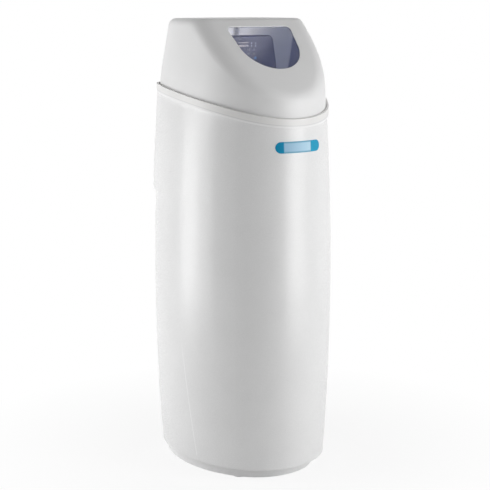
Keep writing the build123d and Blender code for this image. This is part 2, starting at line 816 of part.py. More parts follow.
motor_lugs = [
    (reach * cos_deg(75), reach * sin_deg(75)) for reach in (motor_lug_reach, -motor_lug_reach)
]

with BuildPart() as drive_motor:
    with BuildSketch(front_plane(motor_x, motor_face_y + motor_depth, motor_z)):
        Circle(motor_radius)
    extrude(amount=motor_depth)
    with BuildSketch(front_plane(motor_x, motor_face_y + motor_lug_depth, motor_z)):
        with BuildLine():
            for place in motor_lugs:
                CenterArc(place, motor_lug_radius, 0, 360)
            CenterArc((0, 0), motor_shoulder, 0, 360)
        make_hull()
    extrude(amount=motor_lug_depth)
    with BuildSketch(front_plane(motor_x, motor_face_y + motor_depth + 4, motor_z)):
        Circle(6)
    extrude(amount=4)
    with BuildSketch(front_plane(motor_x, motor_shaft_end_y + 1, motor_z)):
        Circle(motor_shaft_radius + running_gap)
    extrude(amount=20, mode=Mode.SUBTRACT)
write(drive_motor, "drive_motor")

board_corners = ((-36.0, 1016.0), (28.0, 1016.0), (-36.0, 1068.0), (28.0, 1068.0))

with BuildPart() as drive_bracket:
    with BuildSketch(front_plane(0, bracket_back_y, 0)):
        with BuildLine():
            for place in post_places + ((-40.0, 1068.0), (40.0, 1068.0)):
                CenterArc(place, 7, 0, 360)
        make_hull()
    extrude(amount=bracket_back_y - bracket_front_y)
    with BuildSketch(front_plane(0, valve_front_y, 0)):
        with Locations(*post_places):
            Circle(bracket_post_radius)
    extrude(amount=valve_front_y - bracket_back_y)
    with BuildSketch(front_plane(0, valve_front_y, 0)):
        with Locations(*post_places):
            Circle(screw_radius)
    extrude(amount=valve_front_y - bracket_front_y, mode=Mode.SUBTRACT)
    with BuildSketch(front_plane(motor_x, motor_face_y, motor_z)):
        with Locations(*motor_lugs):
            Circle(3)
    extrude(amount=motor_face_y - bracket_back_y)
    with BuildSketch(front_plane(idler_x, pinion_back_y + 3, idler_z)):
        Circle(idler_pin_radius)
    extrude(amount=pinion_back_y + 3 - bracket_back_y)
    # Standoffs under the circuit board, with pegs through its corners
    with BuildSketch(front_plane(0, bracket_front_y, 0)):
        with Locations(*board_corners):
            Circle(standoff_radius)
    extrude(amount=bracket_front_y - board_front_y - board_thickness)
    with BuildSketch(front_plane(0, board_front_y + board_thickness, 0)):
        with Locations(*board_corners):
            Circle(peg_radius)
    extrude(amount=board_thickness)
write(drive_bracket, "drive_bracket")

screw_front_y = bracket_front_y - screw_head_height

with BuildPart() as bracket_screws:
    with BuildSketch(front_plane(0, bracket_front_y, 0)):
        with Locations(*post_places):
            Circle(screw_head_radius)
    extrude(amount=screw_head_height)
    with BuildSketch(front_plane(0, valve_front_y + screw_bite, 0)):
        with Locations(*post_places):
            Circle(screw_radius)
    extrude(amount=valve_front_y + screw_bite - bracket_front_y)
    with BuildSketch(front_plane(0, screw_front_y + screw_slot_depth, 0)):
        with Locations(*post_places):
            Rectangle(screw_slot_length, screw_slot_width)
    extrude(amount=screw_slot_depth, mode=Mode.SUBTRACT)
write(bracket_screws, "bracket_screws")

with BuildPart() as circuit_board:
    with BuildSketch(front_plane(0, board_front_y + board_thickness, 0)):
        with Locations((board_x, board_z)):
            RectangleRounded(board_width, board_height, 3)
        with Locations(*board_corners):
            Circle(peg_radius, mode=Mode.SUBTRACT)
    extrude(amount=board_thickness)
write(circuit_board, "circuit_board")

with BuildPart() as display_module:
    with BuildSketch(front_plane(0, board_front_y, 0)):
        with Locations((screen_x, screen_z)):
            Rectangle(screen_width + 6, screen_height + 2)
    extrude(amount=board_front_y - screen_front_y)
write(display_module, "display_module")


def cover_outline(inset):
    with BuildSketch() as outline:
        with BuildLine():
            Polyline(
                (-cover_low_half + inset, cover_low_z + inset),
                (cover_low_half - inset, cover_low_z + inset),
                (cover_high_half - inset, cover_high_z - inset),
                (-cover_high_half + inset, cover_high_z - inset),
                close=True,
            )
        make_face()
        fillet(outline.vertices().group_by(Axis.Y)[-1], cover_high_corner - inset)
        fillet(outline.vertices().group_by(Axis.Y)[0], cover_low_corner - inset)
    return outline.sketch


key_places = [(x, z) for z in key_rows for x in key_columns]
cover_posts = ((-25.0, 968.0), (25.0, 968.0), (41.0, 1052.0))

with BuildPart() as valve_cover:
    with BuildSketch(front_plane(0, cover_back_y, 0)):
        add(cover_outline(0))
    extrude(amount=cover_back_y - cover_front_y)
    front_edges = valve_cover.edges().group_by(Axis.Y)[0]
    fillet(front_edges, cover_edge_round)
    with BuildSketch(front_plane(face_x, cover_front_y, face_z)):
        Circle(face_radius)
    extrude(amount=cover_front_y - face_y)
    with BuildSketch(front_plane(0, cover_back_y + 1, 0)):
        add(cover_outline(cover_wall))
    extrude(amount=cover_back_y + 1 - cover_front_y - cover_wall, mode=Mode.SUBTRACT)
    # Openings for the screen and the keys
    with BuildSketch(front_plane(0, 0, 0)):
        with Locations((screen_x, screen_z)):
            Rectangle(screen_width, screen_height)
        with Locations(*key_places):
            Rectangle(key_size[0] + 2 * key_gap, key_size[1] + 2 * key_gap)
        with Locations(round_key):
            Circle(round_key_radius + key_gap)
    extrude(amount=20, mode=Mode.SUBTRACT)
    # Holes beside the screen for the status lights
    with BuildSketch(front_plane(0, 0, 0)):
        with Locations(*light_places):
            Circle(light_radius + 0.1)
    extrude(amount=20, mode=Mode.SUBTRACT)
    # Posts back to the bracket
    with BuildSketch(front_plane(0, bracket_front_y, 0)):
        with Locations(*cover_posts):
            Circle(cover_post_radius)
    extrude(amount=bracket_front_y - cover_inside_y + 0.5)
    # Hole for the power inlet in the lower wall
    with BuildSketch(Plane.XY.offset(cover_low_z - 1)):
        with Locations(inlet_place):
            Rectangle(inlet_width + 0.4, inlet_depth + 0.4)
    extrude(amount=cover_wall + 2, mode=Mode.SUBTRACT)
write(valve_cover, "valve_cover")

with BuildPart() as display_lens:
    with BuildSketch(front_plane(0, screen_front_y, 0)):
        with Locations((screen_x, screen_z)):
            Rectangle(screen_width - 0.3, screen_height - 0.3)
    extrude(amount=4.3)
write(display_lens, "display_lens")

with BuildPart() as status_lights:
    with BuildSketch(front_plane(0, board_front_y, 0)):
        with Locations(*light_places):
            Circle(light_radius)
    extrude(amount=board_front_y - face_y)
write(status_lights, "status_lights")

with BuildPart() as power_inlet:
    with BuildSketch(Plane.XY.offset(inlet_low_z)):
        with Locations(inlet_place):
            Rectangle(inlet_width, inlet_depth)
    extrude(amount=inlet_height)
    with BuildSketch(Plane.XY.offset(cover_low_z + cover_wall)):
        with Locations(inlet_place):
            Rectangle(inlet_lip_width, inlet_lip_depth)
    extrude(amount=inlet_lip_height)
    with BuildSketch(Plane.XY.offset(inlet_low_z)):
        with Locations(inlet_place):
            Circle(inlet_bore)
    extrude(amount=inlet_bore_depth, mode=Mode.SUBTRACT)
write(power_inlet, "power_inlet")


def write_key(name, place, cap, flange):
    """A keypad button: its cap stands in the cover's opening, its flange behind, its stem on the board."""
    with BuildPart() as key:
        with BuildSketch(front_plane(place[0], key_cap_y, place[1])):
            add(cap)
        extrude(amount=key_cap_y - key_front_y)
        fillet(key.edges().group_by(Axis.Y)[0], key_round)
        with BuildSketch(front_plane(place[0], key_stem_y, place[1])):
            add(flange)
        extrude(amount=key_stem_y - key_cap_y)
        with BuildSketch(front_plane(place[0], stem_end_y, place[1])):
            Circle(key_stem_radius)
        extrude(amount=stem_end_y - key_stem_y)
    write(key, name)


square_cap = Rectangle(*key_size, mode=Mode.PRIVATE)
square_flange = Rectangle(key_size[0] + 2 * key_lip, key_size[1] + 2 * key_lip, mode=Mode.PRIVATE)
for number, place in enumerate(key_places, 1):
    write_key(f"key_{number}", place, square_cap, square_flange)
round_cap = Circle(round_key_radius, mode=Mode.PRIVATE)
round_flange = Circle(round_key_radius + key_lip, mode=Mode.PRIVATE)
write_key("regenerate_key", round_key, round_cap, round_flange)

# Fittings on the valve

with BuildPart() as injector:
    with BuildSketch(Plane.XY.offset(injector_seat_z)):
        with Locations(injector_place):
            Circle(injector_radius)
            Circle(injector_throat, mode=Mode.SUBTRACT)
    extrude(amount=boss_top_z - injector_seat_z)
write(injector, "injector")

with BuildPart() as injector_cap:
    with BuildSketch(Plane.XY.offset(boss_top_z)):
        with Locations(injector_place):
            Circle(14.5)
    extrude(amount=8)
    with BuildSketch(Plane.XY.offset(boss_top_z + 8)):
        with Locations(injector_place):
            RegularPolygon(9, 6)
    extrude(amount=7)
write(injector_cap, "injector_cap")

drain_z = boss_top_z + 10
with BuildPart() as drain_elbow:
    with BuildSketch(Plane.XY.offset(boss_top_z)):
        with Locations(drain_place):
            Circle(10)
    extrude(amount=20)
    fillet(drain_elbow.edges().sort_by(Axis.Z)[-1], 4)
    # Collar that stops the drain hose, and the spigot it is pushed on
    with BuildSketch(front_plane(drain_place[0], drain_collar_y, drain_z)):
        Circle(drain_collar_radius)
    extrude(amount=drain_collar_y - drain_place[1])
    with BuildSketch(front_plane(drain_place[0], drain_end_y, drain_z)):
        Circle(drain_radius)
    extrude(amount=drain_end_y - drain_collar_y)
    with BuildSketch(front_plane(drain_place[0], drain_end_y, drain_z)):
        Circle(drain_bore)
    extrude(amount=drain_end_y - drain_place[1], mode=Mode.SUBTRACT)
write(drain_elbow, "drain_elbow")

with BuildPart() as refill_elbow:
    with BuildSketch(Plane.YZ.offset(refill_boss_x)):
        with Locations((refill_y, piston_z)):
            Circle(refill_radius)
    extrude(amount=refill_x - refill_boss_x)
    with BuildSketch(Plane.XY.offset(refill_low_z)):
        with Locations((refill_x, refill_y)):
            Circle(refill_radius)
    extrude(amount=refill_height)
    fillet(refill_elbow.edges().sort_by(Axis.Z)[-1], 3)
    with BuildSketch(Plane.XY.offset(refill_low_z)):
        with Locations((refill_x, refill_y)):
            Circle(brine_tube_radius)
    extrude(amount=refill_socket, mode=Mode.SUBTRACT)
write(refill_elbow, "refill_elbow")

with BuildPart() as brine_tube:
    with BuildLine() as route:
        FilletPolyline(
            (refill_x, refill_y, refill_low_z + refill_socket), (refill_x, refill_y, 898),
            (refill_x, -26, brine_entry_z),
            (refill_x, well_y + 20, brine_entry_z), radius=30,
        )
    with BuildSketch(Plane(origin=route.line @ 0, z_dir=route.line % 0)):
        Circle(brine_tube_radius)
        Circle(brine_tube_radius - 1.2, mode=Mode.SUBTRACT)
    sweep()
write(brine_tube, "brine_tube")

with BuildPart() as union_nuts:
    with BuildSketch(front_plane(0, port_end_y + union_lap, port_z)):
        with Locations((-port_x, 0), (port_x, 0)):
            RegularPolygon(union_radius, 8)
            Circle(tube_radius, mode=Mode.SUBTRACT)
    extrude(amount=union_length)
    with BuildSketch(front_plane(0, port_end_y, port_z)):
        with Locations((-port_x, 0), (port_x, 0)):
            Circle(port_radius)
    extrude(amount=20, mode=Mode.SUBTRACT)
write(union_nuts, "union_nuts")

with BuildPart() as bypass_body:
    with BuildSketch(front_plane(0, bypass_end_y, port_z)):
        with Locations((-port_x, 0), (port_x, 0)):
            Circle(tube_radius)
    extrude(amount=bypass_end_y - port_end_y)
    with BuildSketch(Plane.YZ.offset(-port_x)):
        with Locations((bypass_y, port_z)):
            Circle(cross_radius)
    extrude(amount=2 * port_x)
    with BuildSketch(Plane.XY.offset(bypass_boss_low_z)):
        with Locations((-port_x, bypass_y), (port_x, bypass_y)):
            Circle(bypass_boss_radius)
    extrude(amount=plug_height)
    with BuildSketch(front_plane(0, bypass_end_y, port_z)):
        with Locations((-port_x, 0), (port_x, 0)):
            Circle(water_bore)
    extrude(amount=bypass_end_y - port_end_y, mode=Mode.SUBTRACT)
    with BuildSketch(Plane.YZ.offset(-port_x)):
        with Locations((bypass_y, port_z)):
            Circle(cross_bore)
    extrude(amount=2 * port_x, mode=Mode.SUBTRACT)
    with BuildSketch(Plane.XY.offset(plug_low_z - 0.3)):
        with Locations((-port_x, bypass_y), (port_x, bypass_y)):
            Circle(plug_radius + running_gap)
    extrude(amount=60, mode=Mode.SUBTRACT)
write(bypass_body, "bypass_body")

for name, x in (("outlet_lever", -port_x), ("inlet_lever", port_x)):
    with BuildPart() as lever:
        with BuildSketch(Plane.XY.offset(plug_low_z)):
            with Locations((x, bypass_y)):
                Circle(plug_radius)
        extrude(amount=plug_height)
        with BuildSketch(Plane.XY.offset(lever_low_z)):
            with Locations((x, bypass_y)):
                Circle(lever_hub_radius)
        extrude(amount=lever_hub_height)
        with BuildSketch(Plane.XY.offset(lever_low_z + lever_hub_height)):
            with Locations((x, bypass_y)):
                SlotOverall(lever_length, lever_width, rotation=90)
        extrude(amount=lever_height)
        fillet(lever.edges().group_by(Axis.Z)[-1], 2)
        # Water passage, in line with the pipe at rest
        with BuildSketch(front_plane(x, bypass_y + 20, port_z)):
            Circle(cross_bore + 0.5)
        extrude(amount=40, mode=Mode.SUBTRACT)
    write(lever, name)

with BuildPart() as pipe_adapters:
    with BuildSketch(front_plane(0, spigot_end_y - spigot_length, port_z)):
        with Locations((-port_x, 0), (port_x, 0)):
            RegularPolygon(adapter_radius, 6)
    extrude(amount=adapter_length)
    with BuildSketch(front_plane(0, bypass_end_y, port_z)):
        with Locations((-port_x, 0), (port_x, 0)):
            Circle(tube_radius)
    extrude(amount=adapter_lap, mode=Mode.SUBTRACT)
    with BuildSketch(front_plane(0, spigot_end_y, port_z)):
        with Locations((-port_x, 0), (port_x, 0)):
            Circle(spigot_radius)
    extrude(amount=spigot_length)
    with BuildSketch(front_plane(0, spigot_end_y, port_z)):
        with Locations((-port_x, 0), (port_x, 0)):
            Circle(water_bore)
    extrude(amount=spigot_end_y - bypass_end_y, mode=Mode.SUBTRACT)
write(pipe_adapters, "pipe_adapters")

# Brine well, float and overflow

with BuildPart() as brine_well:
    with BuildSketch(Plane.XY.offset(tank_floor_z)):
        with Locations((well_x, well_y)):
            Circle(well_radius)
            Circle(well_radius - well_wall, mode=Mode.SUBTRACT)
    extrude(amount=well_top_z - tank_floor_z)
    # Slots for the brine near the floor
    for z in well_slot_heights:
        with BuildSketch(Plane.XY.offset(z)):
            with Locations((well_x, well_y)):
                with PolarLocations(well_radius, well_slots):
                    Rectangle(12, well_slot_width)
        extrude(amount=well_slot_height, mode=Mode.SUBTRACT)
    with BuildSketch(front_plane(well_x, well_y + well_radius + 5, brine_entry_z)):
        Circle(brine_tube_radius + 0.4)
    extrude(amount=20, mode=Mode.SUBTRACT)
write(brine_well, "brine_well")

with BuildPart() as well_cap:
    with BuildSketch(well_plane):
        with BuildLine():
            Polyline(
                (0, well_top_z + 16), (9, well_top_z + 16), (9, well_top_z + 8), (6, well_top_z + 4),
                (well_radius + 3, well_top_z + 4), (well_radius + 3, well_top_z),
                (well_radius - well_wall - 0.3, well_top_z), (well_radius - well_wall - 0.3, well_top_z - 12),
                (well_radius - well_wall - 3, well_top_z - 12), (well_radius - well_wall - 3, well_top_z + 1),
                (0, well_top_z + 1), close=True,
            )
        make_face()
    revolve(axis=well_axis)
write(well_cap, "well_cap")

with BuildPart() as float_valve:
    with BuildSketch(Plane.XY.offset(float_valve_z)):
        with Locations((well_x, well_y)):
            Circle(float_valve_radius)
    extrude(amount=float_valve_height)
    # Crossbar that hangs it in the well
    with BuildSketch(Plane.XY.offset(float_valve_z + 5)):
        with Locations((well_x, well_y)):
            Rectangle(90, 9)
            Circle(well_radius - well_wall, mode=Mode.INTERSECT)
    extrude(amount=4)
    with BuildSketch(front_plane(well_x, well_y + 20, brine_entry_z)):
        Circle(6)
    extrude(amount=14)
    with BuildSketch(Plane.XY.offset(float_valve_z - 1)):
        with Locations((well_x + rod_offset, well_y)):
            Circle(rod_radius + 0.3)
    extrude(amount=float_valve_height, mode=Mode.SUBTRACT)
write(float_valve, "float_valve")

with BuildPart() as brine_pickup:
    with BuildSketch(Plane.XY.offset(pickup_low_z)):
        with Locations((well_x, well_y)):
            Circle(pickup_radius)
            Circle(pickup_bore, mode=Mode.SUBTRACT)
    extrude(amount=float_valve_z - pickup_low_z)
write(brine_pickup, "brine_pickup")

with BuildPart() as air_check:
    with BuildSketch(Plane.XY.offset(tank_floor_z)):
        with Locations((well_x, well_y)):
            Circle(air_check_radius)
    extrude(amount=pickup_low_z - tank_floor_z)
    with BuildSketch(Plane.XY.offset(12)):
        with Locations((well_x, well_y)):
            with PolarLocations(air_check_radius - 2, 12):
                Rectangle(8, 2)
    extrude(amount=26, mode=Mode.SUBTRACT)
write(air_check, "air_check")

with BuildPart() as brine_float:
    with BuildSketch(well_plane):
        with Locations((15.2, float_middle_z)):
            RectangleRounded(17.6, float_height, 5)
    revolve(axis=well_axis)
    with BuildSketch(Plane.XY.offset(float_middle_z)):
        with Locations((well_x + rod_offset, well_y)):
            Circle(rod_radius)
    extrude(amount=float_valve_z + 2 - float_middle_z)
write(brine_float, "brine_float")

with BuildPart() as overflow_elbow:
    with BuildSketch(front_plane(overflow_x, overflow_outer_y + overflow_arm_length, overflow_z)):
        Circle(overflow_arm_radius)
    extrude(amount=overflow_arm_length)
    with BuildSketch(front_plane(overflow_x, overflow_outer_y + overflow_flange_depth, overflow_z)):
        Circle(overflow_flange_radius)
    extrude(amount=overflow_flange_depth)
    with BuildSketch(front_plane(overflow_x, overflow_outer_y, overflow_z)):
        Circle(overflow_stem_radius)
    extrude(amount=36)
    # Collar that stops the overflow hose, and the spigot it is pushed on
    with BuildSketch(Plane.XY.offset(overflow_z - overflow_collar_drop)):
        with Locations((overflow_x, overflow_spigot_y)):
            Circle(overflow_collar_radius)
    extrude(amount=overflow_collar_drop)
    with BuildSketch(Plane.XY.offset(overflow_z - overflow_drop)):
        with Locations((overflow_x, overflow_spigot_y)):
            Circle(overflow_radius)
    extrude(amount=overflow_drop - overflow_collar_drop)
    with BuildSketch(Plane.XY.offset(overflow_z - overflow_drop)):
        with Locations((overflow_x, overflow_spigot_y)):
            Circle(overflow_radius - 2.5)
    extrude(amount=overflow_drop, mode=Mode.SUBTRACT)
    with BuildSketch(front_plane(overflow_x, overflow_outer_y + 16, overflow_z)):
        Circle(overflow_bore)
    extrude(amount=60, mode=Mode.SUBTRACT)
write(overflow_elbow, "overflow_elbow")

with BuildPart() as overflow_nut:
    with BuildSketch(front_plane(overflow_x, overflow_inner_y, overflow_z)):
        RegularPolygon(overflow_nut_radius, 6)
        Circle(overflow_stem_radius, mode=Mode.SUBTRACT)
    extrude(amount=overflow_nut_depth)
write(overflow_nut, "overflow_nut")
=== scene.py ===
import json
import math

import bmesh
import bpy
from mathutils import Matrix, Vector


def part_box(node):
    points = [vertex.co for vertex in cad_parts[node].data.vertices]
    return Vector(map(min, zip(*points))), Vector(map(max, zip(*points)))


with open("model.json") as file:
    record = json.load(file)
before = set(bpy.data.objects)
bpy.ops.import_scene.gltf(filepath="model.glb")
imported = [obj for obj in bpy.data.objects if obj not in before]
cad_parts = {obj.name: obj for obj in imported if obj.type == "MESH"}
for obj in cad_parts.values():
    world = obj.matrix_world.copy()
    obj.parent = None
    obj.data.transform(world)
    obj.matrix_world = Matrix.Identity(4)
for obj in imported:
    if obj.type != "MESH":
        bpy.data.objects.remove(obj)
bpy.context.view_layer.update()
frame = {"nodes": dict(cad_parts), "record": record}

MM = 0.001

# Camera, solved from the photograph's 490 by 490 pixels: place in metres, angles in degrees
camera_place = (-1.7333, -2.6142, 1.17565)
camera_azimuth = -33.545
camera_pitch = -11.092
image_width = 490
focal_px = 1252.2
centre_px = 249.06
sensor_width = 36.0

# The seam between tank and hood: its height in metres, falling towards the front along an arc
seam_mid_z, seam_tilt, seam_bow = 0.952, 0.1675, 0.373

# The mould's parting line on the tank's left side, drawn as a pale painted highlight: its depth over
# height, its half width, and the heights where it starts, is full, fades and ends
parting_foot_y, parting_lean = -0.0465, 0.1285
parting_half = 1.0 * MM
parting_heights = (0.044, 0.050, 0.28, 0.36)

# Two fine bands along the collar, a painted highlight and a painted shadow line, as the drop below the
# seam and the half width
highlight_edge_drop, highlight_edge_half = 20.0 * MM, 3.0 * MM
shadow_line_drop, shadow_line_half = 15.5 * MM, 1.0 * MM

# Inside of the hood: a point in it, the share of light that its wall passes, and how its inner side
# glows and darkens with the distance from the middle plane: a glow pattern of painted light, with a
# painted shadow bar, and painted shade
hood_inside = (0, 0.02, 1.0)
hood_passes = 0.26
back_glow, side_glow, glow_fall = 0.75, 0.17, (0.112, 0.162)
middle_gain, middle_reach = 1.3, (0.064, 0.070)
# Painted shadow bar: the glow drops along a band at this distance from the middle plane
shadow_bar_place, shadow_bar_half, shadow_bar_glow = 0.079, 0.007, 0.35
side_shade_reach = (0.138, 0.168)
# The inner side is darkest in front of a plane that leans back with height: no glow there, and painted
# shade
front_lean, front_plane = 0.43, (0.513, 0.521)

white = (0.80, 0.80, 0.80)
collar_white = (0.80, 0.795, 0.785)
# Painted highlight on the mould's parting line
parting_highlight_white = (0.92, 0.92, 0.92)
# Painted highlight along the collar's lower edge, and a painted shadow line above it
painted_highlight_white = (0.88, 0.88, 0.88)
shadow_line_grey = (0.70, 0.70, 0.70)
# Painted shade for the hood's inner side, grey-blue towards the sides and navy in front
hood_side_painted_shade = (0.44, 0.48, 0.56)
hood_front_painted_shade = (0.03, 0.05, 0.14)
black_plastic = (0.018, 0.018, 0.02)


# Shader helpers

class Nodes:
    """A material's node tree with short calls to add and join nodes. Lengths are in metres."""

    def __init__(self, name):
        self.material = bpy.data.materials.new(name)
        self.material.use_nodes = True
        self.tree = self.material.node_tree
        self.shader = self.tree.nodes["Principled BSDF"]
        self.output = self.tree.nodes["Material Output"]
        self.place = self.add("ShaderNodeTexCoord").outputs["Object"]

    def add(self, kind, **settings):
        node = self.tree.nodes.new(kind)
        for key, value in settings.items():
            setattr(node, key, value)
        return node

    def join(self, start, end):
        self.tree.links.new(start, end)

    def feed(self, socket, value):
        """Joins a socket to another, or gives it a number or a colour."""
        if isinstance(value, bpy.types.NodeSocket):
            self.join(value, socket)
        else:
            socket.default_value = (*value, 1) if isinstance(value, tuple) else value

    def set(self, **values):
        for key, value in values.items():
            self.shader.inputs[key.replace("_", " ")].default_value = value

    def axes(self):
        """Sockets of the place's X, Y and Z."""
        split = self.add("ShaderNodeSeparateXYZ")
        self.join(self.place, split.inputs["Vector"])
        return [split.outputs[axis] for axis in "XYZ"]

    def noise(self, scale, detail=2.0, stretch=(1, 1, 1)):
        """Noise value with features of about scale, longer by stretch."""
        mapping = self.add("ShaderNodeMapping")
        mapping.inputs["Scale"].default_value = [1 / (scale * part) for part in stretch]
        self.join(self.place, mapping.inputs["Vector"])
        noise = self.add("ShaderNodeTexNoise")
        noise.inputs["Scale"].default_value = 1.0
        noise.inputs["Detail"].default_value = detail
        self.join(mapping.outputs["Vector"], noise.inputs["Vector"])
        return noise.outputs["Fac"]

    def range(self, value, low, high, start=0.35, end=0.65):
        """Maps value, from start to end, on to low to high."""
        node = self.add("ShaderNodeMapRange")
        for key, number in (("From Min", start), ("From Max", end), ("To Min", low), ("To Max", high)):
            node.inputs[key].default_value = number
        self.join(value, node.inputs["Value"])
        return node.outputs["Result"]

    def patches(self, scale):
        """Soft patches from 0 to 1, of about this size."""
        return self.range(self.noise(scale), 0, 1)

    def within(self, value, start, full, fade, end):
        """Rises from 0 at start to 1 at full, and falls from 1 at fade to 0 at end."""
        return self.product(self.range(value, 0, 1, start, full), self.range(value, 1, 0, fade, end))

    def band(self, value, middle, half):
        """1 where value is near middle, fading to 0 past half on either side."""
        off = self.math("ABSOLUTE", self.math("SUBTRACT", value, middle))
        return self.range(off, 1, 0, 0.7 * half, 1.3 * half)

    def math(self, operation, first, second=0.0):
        node = self.add("ShaderNodeMath", operation=operation)
        self.feed(node.inputs[0], first)
        self.feed(node.inputs[1], second)
        return node.outputs[0]

    def product(self, first, *others):
        for other in others:
            first = self.math("MULTIPLY", first, other)
        return first

    def mix(self, share, low, high):
        """Mix of two colours, each a tuple or a socket."""
        node = self.add("ShaderNodeMix", data_type="RGBA")
        self.feed(node.inputs["Factor"], share)
        self.feed(node.inputs[6], low)
        self.feed(node.inputs[7], high)
        return node.outputs[2]

    def blend(self, share, first, second):
        """Mix of two shaders' sockets."""
        node = self.add("ShaderNodeMixShader")
        for socket, value in zip(node.inputs, (share, first, second)):
            self.feed(socket, value)
        return node.outputs["Shader"]

    def colour(self, socket):
        self.join(socket, self.shader.inputs["Base Color"])

    def lay(self, share, colour):
        """Lays a colour over the one that the shader has."""
        before = self.shader.inputs["Base Color"].links[0].from_socket
        self.colour(self.mix(share, before, colour))

    def roughness(self, value, low, high):
        self.join(self.range(value, low, high), self.shader.inputs["Roughness"])

    def bump(self, value, depth):
        node = self.add("ShaderNodeBump")
        node.inputs["Distance"].default_value = depth
        self.join(value, node.inputs["Height"])
        self.join(node.outputs["Normal"], self.shader.inputs["Normal"])

    def coloured(self, kind, colour):
        """Socket of a plain shader of this kind and colour."""
        node = self.add(kind)
        node.inputs["Color"].default_value = (*colour, 1)
        return node.outputs["BSDF"]

    def pass_lamps(self, surface, tint):
        """Ends the material: this surface, through which lamps shine as far as the tint lets them."""
        in_shadow = self.add("ShaderNodeLightPath").outputs["Is Shadow Ray"]
        clear = self.coloured("ShaderNodeBsdfTransparent", tint)
        self.join(self.blend(in_shadow, surface, clear), self.output.inputs["Surface"])

    def inner_side(self, inside):
        """1 on the side of a wall that faces the point inside, 0 on the other."""
        outward = self.add("ShaderNodeVectorMath", operation="SUBTRACT")
        outward.inputs[1].default_value = inside
        self.join(self.place, outward.inputs[0])
        facing = self.add("ShaderNodeVectorMath", operation="DOT_PRODUCT")
        self.join(outward.outputs["Vector"], facing.inputs[0])
        self.join(self.add("ShaderNodeNewGeometry").outputs["Normal"], facing.inputs[1])
        return self.math("LESS_THAN", facing.outputs["Value"])


def seen_directly(tree):
    """Socket that is 1 for what the camera sees, also in a reflection or through something clear."""
    path = tree.nodes.new("ShaderNodeLightPath")
    seen = path.outputs["Is Camera Ray"]
    for kind in ("Is Glossy Ray", "Is Transmission Ray"):
        largest = tree.nodes.new("ShaderNodeMath")
        largest.operation = "MAXIMUM"
        tree.links.new(seen, largest.inputs[0])
        tree.links.new(path.outputs[kind], largest.inputs[1])
        seen = largest.outputs[0]
    return seen


def shade(colour, factor):
    return tuple(min(1.0, part * factor) for part in colour)


# Materials

def plastic_nodes(name, colour, rough, grain=0.6 * MM, depth=0.02 * MM, blotch=50 * MM, spread=0.03):
    """Moulded plastic: fine surface grain, faint blotches of colour and an uneven gloss."""
    nodes = Nodes(name)
    nodes.colour(nodes.mix(nodes.patches(blotch), shade(colour, 1 - spread), shade(colour, 1 + spread)))
    fine = nodes.noise(grain, 3)
    nodes.roughness(fine, rough - 0.05, rough + 0.05)
    nodes.bump(fine, depth)
    return nodes


def plastic(name, *values):
    return plastic_nodes(name, *values).material


def tank_plastic(name):
    """White plastic with a painted highlight along the fine line where the mould parted, low on the left
    side.
    """
    nodes = plastic_nodes(name, white, 0.27, 1.2 * MM, 0.04 * MM, 120 * MM, 0.012)
    x, y, z = nodes.axes()
    line_y = nodes.math("ADD", nodes.product(z, parting_lean), parting_foot_y)
    line = nodes.band(nodes.math("SUBTRACT", y, line_y), 0, parting_half)
    on_left = nodes.range(x, 1, 0, -0.02, 0.0)
    # Painted highlight: a pale band along the real parting line
    nodes.lay(nodes.product(line, on_left, nodes.within(z, *parting_heights)), parting_highlight_white)
    return nodes.material


def collar_plastic(name):
    """White plastic with a painted highlight along its lower edge, which follows the seam, under a faint
    painted shadow line.
    """
    nodes = plastic_nodes(name, collar_white, 0.40, 0.7 * MM, 0.02 * MM, 80 * MM, 0.01)
    _, y, z = nodes.axes()
    straight = nodes.math("ADD", nodes.product(y, seam_tilt), seam_mid_z)
    seam = nodes.math("SUBTRACT", straight, nodes.product(y, y, seam_bow))
    drop = nodes.math("SUBTRACT", seam, z)
    # Painted highlight at the collar's lower edge and a painted shadow line above it
    nodes.lay(nodes.band(drop, highlight_edge_drop, highlight_edge_half), painted_highlight_white)
    nodes.lay(nodes.band(drop, shadow_line_drop, shadow_line_half), shadow_line_grey)
    return nodes.material


def hood_plastic(name):
    """White plastic that lets some light through, so that it glows inside, most at the back. The glow's
    pattern by place is painted light, with a painted shadow bar, and the inner side has painted shade
    towards the sides and the front.
    """
    nodes = plastic_nodes(name, white, 0.45, 0.7 * MM, 0.02 * MM, 100 * MM, 0.01)
    x, y, z = nodes.axes()
    off_middle = nodes.math("ABSOLUTE", x)
    behind = nodes.math("ADD", y, nodes.product(z, front_lean))
    inner = nodes.inner_side(hood_inside)
    # Painted light: how much the inner side glows is set by place, most at the back and middle, less in a
    # painted shadow bar
    glow = nodes.product(
        nodes.range(off_middle, back_glow, side_glow, *glow_fall),
        nodes.range(off_middle, middle_gain, 1, *middle_reach),
        nodes.range(nodes.band(off_middle, shadow_bar_place, shadow_bar_half), 1, shadow_bar_glow, 0, 1),
        nodes.range(behind, 0, 1, *front_plane),
    )
    # Painted shade: the inner side turns grey-blue towards the sides and navy in front
    nodes.lay(nodes.product(inner, nodes.range(off_middle, 0, 1, *side_shade_reach)), hood_side_painted_shade)
    nodes.lay(nodes.product(inner, nodes.range(behind, 1, 0, *front_plane)), hood_front_painted_shade)
    lit_from_behind = nodes.add("ShaderNodeBsdfTranslucent").outputs["BSDF"]
    wall = nodes.blend(nodes.product(inner, glow), nodes.shader.outputs["BSDF"], lit_from_behind)
    nodes.pass_lamps(wall, (hood_passes, hood_passes, hood_passes))
    return nodes.material


